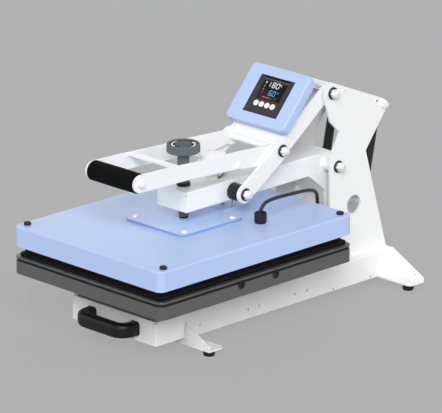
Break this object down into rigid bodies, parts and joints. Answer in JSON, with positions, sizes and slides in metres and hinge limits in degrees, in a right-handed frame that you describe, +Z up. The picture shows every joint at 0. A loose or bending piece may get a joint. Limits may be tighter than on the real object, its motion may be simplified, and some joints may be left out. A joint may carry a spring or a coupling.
{
  "type": "clamshell heat press",
  "caption": "Free-standing clamshell press: a heated upper platen swings on a toggle lever over a pull-out lower platen, with a digital control box.",
  "frame": {"origin": "middle of the whole press's footprint, on the ground", "axes": "+X to the right as seen from the front, towards the side with the platen lead; +Y from the grip at the front to the side plates at the back; +Z up"},
  "size_m": [0.402, 0.7369, 0.453],
  "materials": {
    "white_paint": "smooth white powder coat",
    "blue_paint": "smooth pale blue powder coat",
    "grey_paint": "satin dark grey paint",
    "white_bolt": "white coated fasteners",
    "black_steel": "black oxide",
    "bright_steel": "zinc plated",
    "rubber": "matte moulded rubber",
    "black_plastic": "fine moulded grain",
    "dark_board": "insulating board",
    "fibre_board": "pressed mineral fibre",
    "platen_alloy": "satin",
    "heat_plate_coating": "dark non-stick coating over cast alloy",
    "silicone": "matte silicone sponge",
    "lead_sheath": "heat-proof sheath",
    "knob_plastic": "moulded, fluted edge",
    "foam": "foam sleeve",
    "display_gloss": "smoked panel",
    "board_green": "solder mask",
    "button_white": "smooth"
  },
  "bodies": {
    "base": {"base_channel": "white_paint", "front_crossmember": "white_paint", "rear_crossmember": "white_paint", "rubber_feet": "rubber", "side_plates": "white_paint", "top_cross_cover": "white_paint", "frame_screws": "white_bolt", "rear_housing": "white_paint", "power_inlet": "black_plastic", "pivot_shafts": "bright_steel", "pivot_washers": "black_steel", "pivot_bolts": "white_bolt", "slide_fixed_rails": "bright_steel"},
    "rocker": {"rocker_switch": "black_plastic"},
    "slide_middle": {"slide_middle_rails": "bright_steel"},
    "drawer": {"drawer_front": "white_paint", "pull_handle": "black_plastic", "carriage_riser": "grey_paint", "slide_moving_rails": "bright_steel", "tray_body": "grey_paint", "platen_frame": "dark_board", "lower_platen": "platen_alloy", "silicone_pad": "silicone", "platen_lock_screws": "black_steel"},
    "arm": {"beam": "white_paint", "tail_lugs": "white_paint", "link_spacers": "black_steel", "link_studs": "bright_steel", "spindle_nut": "black_steel", "electromagnet": "white_paint", "lead_gland": "black_plastic", "platen_lead": "lead_sheath"},
    "platen": {"platen_cover": "blue_paint", "heat_plate": "heat_plate_coating", "heating_element": "bright_steel", "insulation": "fibre_board", "mount_plate": "blue_paint", "mount_screws": "white_bolt", "corner_caps": "rubber", "guide_bracket": "blue_paint", "lead_connector": "black_plastic"},
    "screw": {"spindle": "black_steel", "knob": "knob_plastic"},
    "lever": {"handle_plates": "white_paint", "grip": "foam", "lever_tubes": "white_paint", "armature": "white_paint", "control_box_front": "blue_paint", "control_box_back": "blue_paint", "display_panel": "display_gloss", "control_board": "board_green"},
    "link_pair": {"links": "white_paint", "link_washers": "black_steel", "link_bolts": "white_bolt"},
    "spring_tubes": {"gas_tubes": "black_steel"},
    "spring_rods": {"gas_rods": "bright_steel"},
    "button_a": {"button_1": "button_white"},
    "button_b": {"button_2": "button_white"},
    "button_c": {"button_3": "button_white"},
    "button_d": {"button_4": "button_white"}
  },
  "joints": [
    {"name": "arm_hinge", "type": "hinge", "parent": "base", "child": "arm", "pos_m": [0, 0.2272, 0.2566], "axis": [-1, 0, 0], "range_deg": [0, 50]},
    {"name": "lever_hinge", "type": "hinge", "parent": "base", "child": "lever", "pos_m": [0, 0.2106, 0.4065], "axis": [-1, 0, 0], "range_deg": [0, 93]},
    {"name": "link_hinge", "type": "hinge", "parent": "lever", "child": "link_pair", "pos_m": [0, 0.0748, 0.321], "axis": [1, 0, 0], "range_deg": [0, 115.3]},
    {"name": "spring_swing", "type": "hinge", "parent": "base", "child": "spring_tubes", "pos_m": [0, 0.3526, 0.356], "axis": [-1, 0, 0], "range_deg": [0, 18.45]},
    {"name": "spring_stroke", "type": "slide", "parent": "spring_tubes", "child": "spring_rods", "axis": [0, -0.2026, -0.9793], "range_m": [0, 0.0719]},
    {"name": "drawer_slide", "type": "slide", "parent": "base", "child": "drawer", "axis": [0, -1, 0], "range_m": [0, 0.28]},
    {"name": "rail_slide", "type": "slide", "parent": "base", "child": "slide_middle", "axis": [0, -1, 0], "range_m": [0, 0.1401]},
    {"name": "platen_lift", "type": "slide", "parent": "arm", "child": "platen", "axis": [0, 0, 1], "range_m": [0, 0.008]},
    {"name": "knob_turn", "type": "hinge", "parent": "platen", "child": "screw", "pos_m": [0, -0.1154, 0.3], "axis": [0, 0, 1], "range_deg": [0, 721]},
    {"name": "switch_rock", "type": "hinge", "parent": "base", "child": "rocker", "pos_m": [0.031, 0.3376, 0.094], "axis": [1, 0, 0], "range_deg": [0, 14.8]},
    {"name": "button_a_press", "type": "slide", "parent": "lever", "child": "button_a", "axis": [0, 0.7541, -0.6568], "range_m": [0, 0.0012], "stiffness_N_per_m": 300},
    {"name": "button_b_press", "type": "slide", "parent": "lever", "child": "button_b", "axis": [0, 0.7541, -0.6568], "range_m": [0, 0.0012], "stiffness_N_per_m": 300},
    {"name": "button_c_press", "type": "slide", "parent": "lever", "child": "button_c", "axis": [0, 0.7541, -0.6568], "range_m": [0, 0.0012], "stiffness_N_per_m": 300},
    {"name": "button_d_press", "type": "slide", "parent": "lever", "child": "button_d", "axis": [0, 0.7541, -0.6568], "range_m": [0, 0.0012], "stiffness_N_per_m": 300}
  ],
  "couplings": [
    {"joint": "lever_hinge", "follows": "arm_hinge", "ratio": 1.8583},
    {"joint": "link_hinge", "follows": "arm_hinge", "ratio": 2.3038},
    {"joint": "spring_swing", "follows": "arm_hinge", "ratio": 0.368},
    {"joint": "spring_stroke", "follows": "arm_hinge", "m_per_rad": 0.08225},
    {"joint": "rail_slide", "follows": "drawer_slide", "ratio": 0.5},
    {"joint": "knob_turn", "follows": "platen_lift", "rad_per_m": 1570.8}
  ]
}
